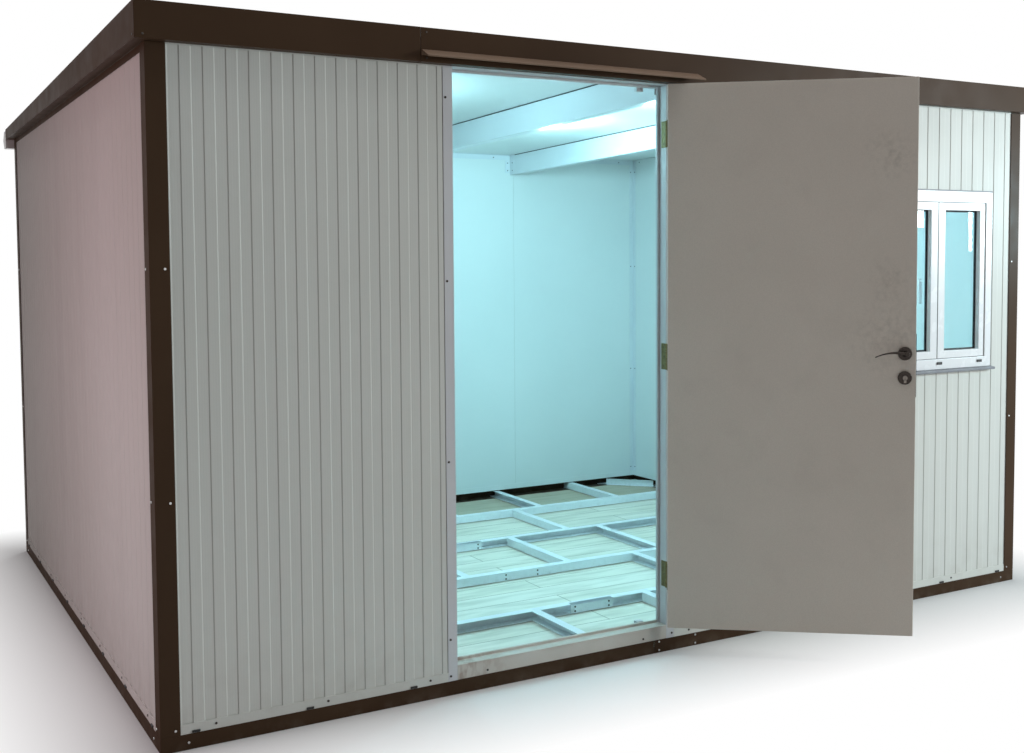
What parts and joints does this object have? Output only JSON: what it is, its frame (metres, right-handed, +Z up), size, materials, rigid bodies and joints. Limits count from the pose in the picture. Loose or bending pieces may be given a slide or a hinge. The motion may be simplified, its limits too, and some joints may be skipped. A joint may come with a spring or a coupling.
{
  "type": "portable site cabin",
  "caption": "Portable site cabin of ribbed sandwich panels on a steel base frame, with a low sloping roof, a swinging door and a casement window.",
  "frame": {"origin": "on the ground, under the middle of the front base rail, on the rail's underside", "axes": "+X along the front to the right as seen from outside, +Y from the front into the cabin, +Z up"},
  "size_m": [4.074, 3.7402, 2.3007],
  "materials": {
    "brown_steel": "satin brown coil coating",
    "panel_white": "semi-gloss grey-white coil coating",
    "white_steel": "satin white paint",
    "frame_grey": "satin grey-white paint",
    "door_grey": "matt beige-grey paint",
    "lock_bronze": "dark bronze",
    "hinge_brass": "dull brass",
    "forend_steel": "brushed",
    "window_white": "smooth white",
    "window_glass": "clear",
    "gutter_grey": "smooth light grey"
  },
  "bodies": {
    "cabin": {"back_wall": "panel_white", "base_back_rail": "brown_steel", "base_front_rail_left": "brown_steel", "base_front_rail_right": "brown_steel", "base_left_rail": "brown_steel", "base_right_rail": "brown_steel", "corner_trim_back_left": "brown_steel", "corner_trim_back_right": "brown_steel", "corner_trim_front_left": "brown_steel", "corner_trim_front_right": "brown_steel", "door_canopy": "brown_steel", "door_head": "frame_grey", "door_hinge_jamb_plates": "hinge_brass", "door_jamb_left": "frame_grey", "door_jamb_right": "frame_grey", "door_threshold": "frame_grey", "fascia_back": "brown_steel", "fascia_front_left": "brown_steel", "fascia_front_right": "brown_steel", "fascia_left": "brown_steel", "fascia_right": "brown_steel", "floor_corner_gussets": "white_steel", "floor_joist_1": "white_steel", "floor_joist_2": "white_steel", "floor_joist_3": "white_steel", "floor_joist_4": "white_steel", "floor_joist_splices": "white_steel", "floor_noggins": "white_steel", "front_wall_left": "panel_white", "front_wall_middle": "panel_white", "front_wall_over_door": "panel_white", "front_wall_over_window": "panel_white", "front_wall_right": "panel_white", "front_wall_under_window": "panel_white", "gutter": "gutter_grey", "gutter_end_caps": "gutter_grey", "inside_corner_angles": "white_steel", "left_wall": "panel_white", "rafter_1": "white_steel", "rafter_2": "white_steel", "rafter_3": "white_steel", "right_wall": "panel_white", "roof_panel": "panel_white", "wall_foot_tracks": "white_steel", "wall_head_strips": "white_steel", "window_frame": "window_white", "window_handle": "window_white", "window_panes": "window_glass", "window_sash_left": "window_white", "window_sash_right": "window_white", "window_sill": "frame_grey"},
    "door": {"door_hinge_leaf_plates": "hinge_brass", "door_leaf": "door_grey", "door_lock_cylinder": "hinge_brass", "door_lock_forend": "forend_steel", "door_lock_roses": "lock_bronze"},
    "lever": {"door_lever": "lock_bronze"}
  },
  "joints": [
    {"name": "door_swing", "type": "hinge", "parent": "cabin", "child": "door", "pos_m": [-0.0495, -0.034, 1.144], "axis": [0, 0, 1], "range_deg": [-143.3, 26.7]},
    {"name": "lever_turn", "type": "hinge", "parent": "door", "child": "lever", "pos_m": [0.6305, -0.57329, 1.168], "axis": [-0.5976, -0.8018, 0], "range_deg": [0, 40], "stiffness_Nm_per_rad": 1.5, "springref_deg": -28.65}
  ]
}
